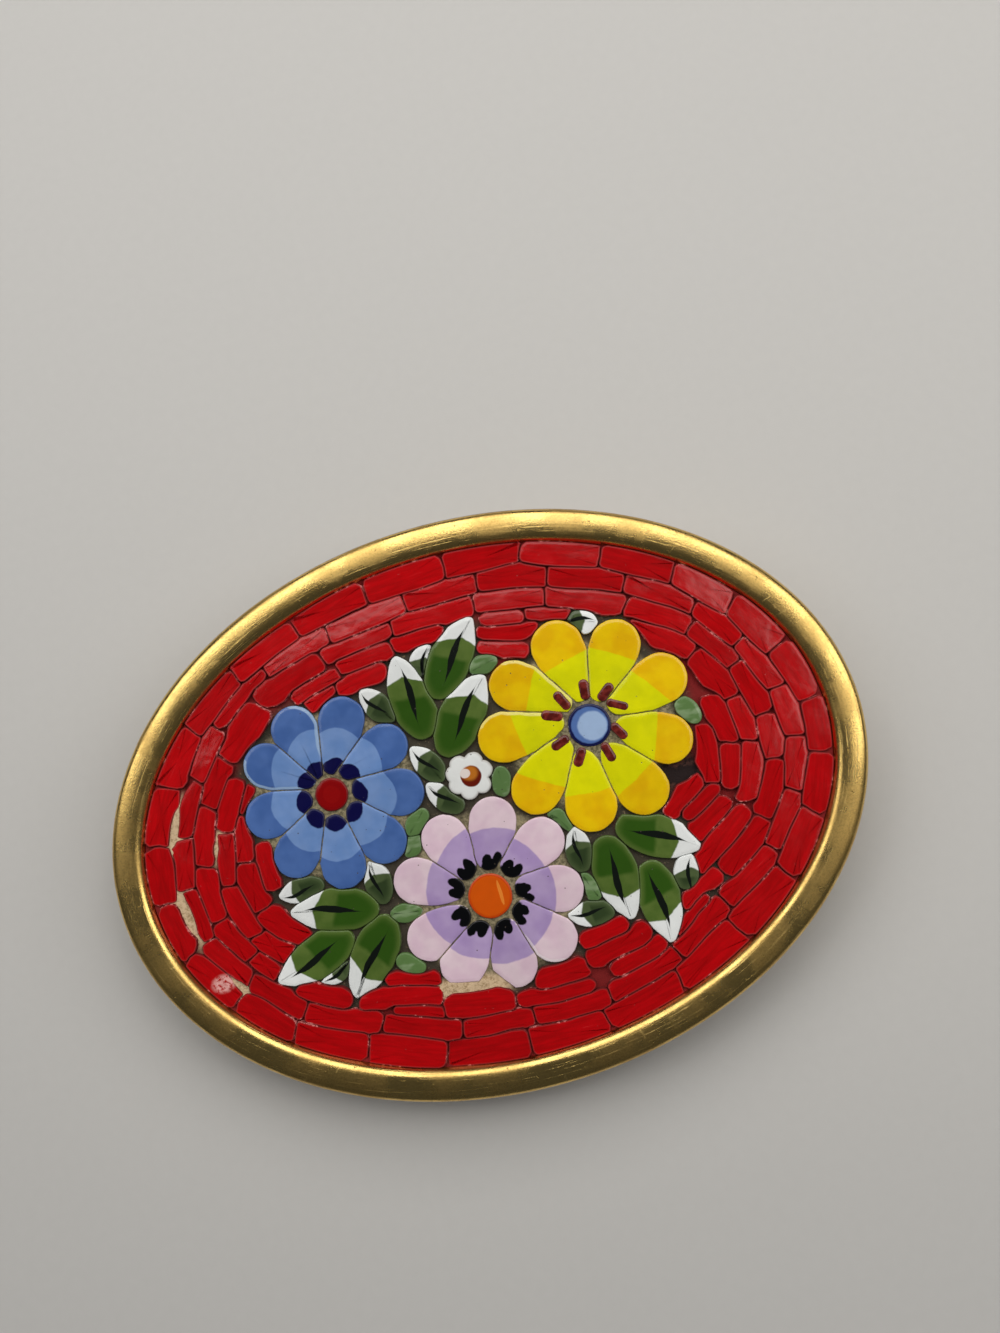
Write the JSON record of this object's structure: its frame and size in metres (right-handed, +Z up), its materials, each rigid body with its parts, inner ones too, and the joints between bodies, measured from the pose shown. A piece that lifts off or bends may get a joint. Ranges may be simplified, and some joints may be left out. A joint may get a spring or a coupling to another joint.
{
  "type": "micromosaic brooch",
  "caption": "Oval brooch with a brass rim round a glass micromosaic of three daisies, leaves and a floret on red, lying on its pin.",
  "frame": {"origin": "centre of the bounding box at the height of the surface that the brooch lies on", "axes": "+X along the oval's long axis to the picture's right, +Y towards the picture's top along the surface, +Z up; the face leans 4.78 degrees from +Z towards -Y because the brooch lies on its hinge, its catch and the lower edge of its rim"},
  "size_m": [0.0439, 0.0326, 0.0068],
  "materials": {
    "rim_metal": "polished, lightly worn",
    "plate_metal": "satin",
    "pin_metal": "polished",
    "cement": "matt",
    "blue_glass": "opaque, polished",
    "yellow_glass": "opaque, polished",
    "lilac_glass": "opaque, polished",
    "dark_red_glass": "opaque, polished",
    "pale_blue_glass": "opaque, polished",
    "orange_glass": "opaque, polished",
    "white_glass": "opaque, polished",
    "leaf_glass": "opaque, polished",
    "pale_green_glass": "opaque, polished",
    "red_glass": "opaque, polished with chipped edges"
  },
  "bodies": {
    "root": {"back_plate": "plate_metal", "bezel_rim": "rim_metal", "blue_flower_heart": "dark_red_glass", "blue_petal_1": "blue_glass", "blue_petal_2": "blue_glass", "blue_petal_3": "blue_glass", "blue_petal_4": "blue_glass", "blue_petal_5": "blue_glass", "blue_petal_6": "blue_glass", "blue_petal_7": "blue_glass", "blue_petal_8": "blue_glass", "blue_petal_9": "blue_glass", "cement_bed": "cement", "green_ovals": "pale_green_glass", "leaf_1": "leaf_glass", "leaf_2": "leaf_glass", "leaf_3": "leaf_glass", "leaf_4": "leaf_glass", "leaf_5": "leaf_glass", "leaf_6": "leaf_glass", "leaf_7": "leaf_glass", "leaf_8": "leaf_glass", "leaf_9": "leaf_glass", "lilac_flower_heart": "orange_glass", "lilac_petal_1": "lilac_glass", "lilac_petal_2": "lilac_glass", "lilac_petal_3": "lilac_glass", "lilac_petal_4": "lilac_glass", "lilac_petal_5": "lilac_glass", "lilac_petal_6": "lilac_glass", "lilac_petal_7": "lilac_glass", "lilac_petal_8": "lilac_glass", "lilac_petal_9": "lilac_glass", "pin_fitting": "pin_metal", "red_tesserae": "red_glass", "small_leaves": "leaf_glass", "white_floret": "white_glass", "yellow_flower_heart": "pale_blue_glass", "yellow_petal_1": "yellow_glass", "yellow_petal_2": "yellow_glass", "yellow_petal_3": "yellow_glass", "yellow_petal_4": "yellow_glass", "yellow_petal_5": "yellow_glass", "yellow_petal_6": "yellow_glass", "yellow_petal_7": "yellow_glass", "yellow_petal_8": "yellow_glass", "yellow_petal_9": "yellow_glass"}
  },
  "joints": []
}
